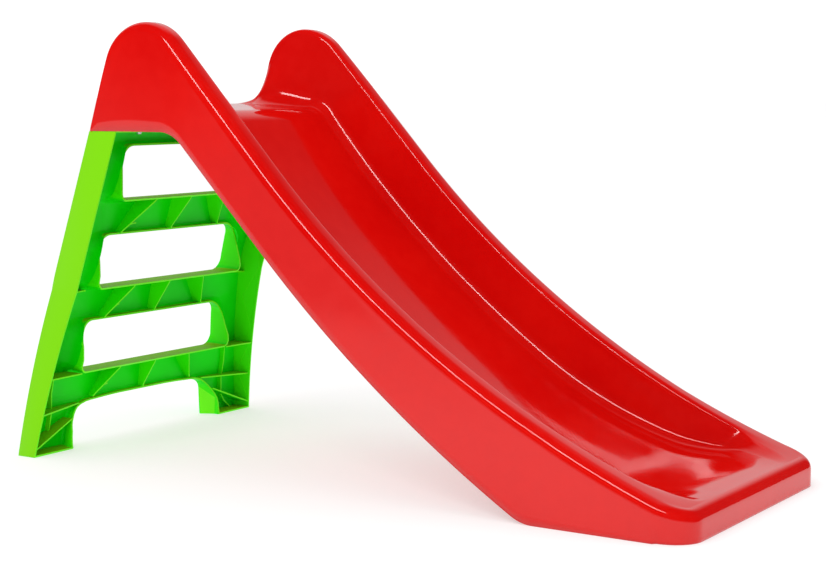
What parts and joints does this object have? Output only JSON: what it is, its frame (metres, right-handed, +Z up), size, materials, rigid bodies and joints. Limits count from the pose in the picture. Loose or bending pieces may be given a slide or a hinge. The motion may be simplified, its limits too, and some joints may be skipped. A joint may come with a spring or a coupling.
{
  "type": "toddler slide",
  "caption": "Low children's slide: one-piece moulded chute with humped side rails, plugged onto a leaning ladder moulded with open steps.",
  "frame": {"origin": "on the floor, in the middle of the footprint", "axes": "+X down the chute to the toe, +Y across to the slider's left, +Z up"},
  "size_m": [1.2097, 0.578, 0.722],
  "materials": {
    "slide_red": "glossy moulded polypropylene, bright red",
    "ladder_green": "satin moulded polypropylene, bright green",
    "screw_zinc": "zinc plated"
  },
  "bodies": {
    "ladder": {"ladder": "ladder_green", "fixing_screw_1": "screw_zinc", "fixing_screw_2": "screw_zinc", "fixing_screw_3": "screw_zinc", "fixing_screw_4": "screw_zinc"},
    "chute": {"slide_body": "slide_red"}
  },
  "joints": [
    {"name": "lift_off", "type": "slide", "parent": "ladder", "child": "chute", "axis": [0, 0, 1], "range_m": [0, 0.1]}
  ]
}
